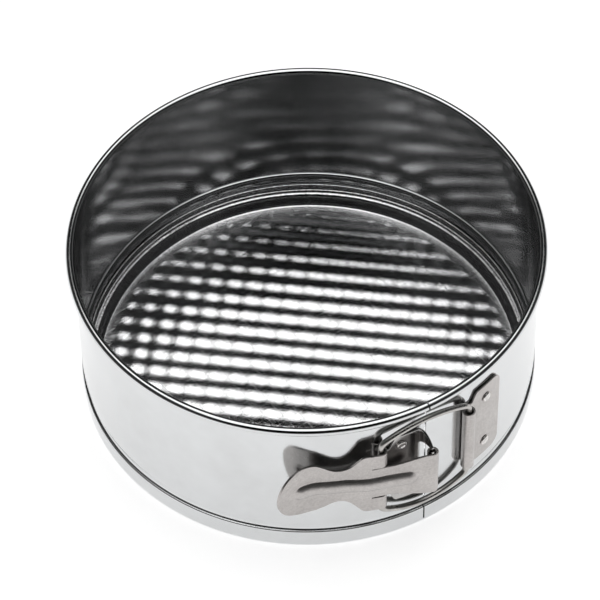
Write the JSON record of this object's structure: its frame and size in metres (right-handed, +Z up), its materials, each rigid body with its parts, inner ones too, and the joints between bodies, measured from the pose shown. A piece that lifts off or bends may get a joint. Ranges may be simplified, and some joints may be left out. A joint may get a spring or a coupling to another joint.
{
  "type": "springform pan",
  "caption": "Round springform baking pan: a loose embossed base held in a split steel ring with a rolled rim and an over-centre lever latch.",
  "frame": {"origin": "centre of the base's flat underside, on the surface that the pan stands on", "axes": "+Z up along the pan's axis; -Y towards the latch and the ring's seam; +X to the right seen from the latch, towards the catch plate"},
  "size_m": [0.1864, 0.1929, 0.076],
  "materials": {
    "base_disc": "bright embossed tinplate with fine speckle",
    "ring": "bright polished sheet with faint handling marks",
    "latch_plate": "satin stamped steel",
    "latch_lever": "satin stamped steel with fine grain",
    "wire": "bright drawn wire",
    "rivet": "bright domed rivet"
  },
  "bodies": {
    "base": {"base_disc": "base_disc"},
    "ring_left": {"band_left": "ring", "hinge_bracket": "latch_plate", "bracket_rivet_upper": "rivet", "bracket_rivet_lower": "rivet"},
    "ring_right": {"band_right": "ring", "catch_plate": "latch_plate", "catch_rivet_upper": "rivet", "catch_rivet_lower": "rivet"},
    "lever": {"lever": "latch_lever"},
    "wire": {"wire_link": "wire"}
  },
  "joints": [
    {"name": "ring_lift", "type": "slide", "parent": "base", "child": "ring_left", "axis": [0, 0, 1], "range_m": [0, 0.085]},
    {"name": "ring_flex", "type": "hinge", "parent": "ring_left", "child": "ring_right", "pos_m": [0, 0.0933, 0], "axis": [0, 0, 1], "range_deg": [0, 7.2], "deforming": ["band_left", "band_right"]},
    {"name": "lever_pivot", "type": "hinge", "parent": "ring_left", "child": "lever", "pos_m": [-0.00085, -0.0975, 0.0425], "axis": [0, 0, 1], "range_deg": [0, 150]},
    {"name": "link_pivot", "type": "hinge", "parent": "ring_right", "child": "wire", "pos_m": [0.01857, -0.09128, 0.0425], "axis": [0, 0, 1], "range_deg": [0, 34.4], "deforming": ["wire_link"]}
  ],
  "couplings": [
    {"joint": "ring_flex", "follows": "lever_pivot", "ratio": 0.047617},
    {"joint": "link_pivot", "follows": "lever_pivot", "ratio": 0.22779}
  ]
}
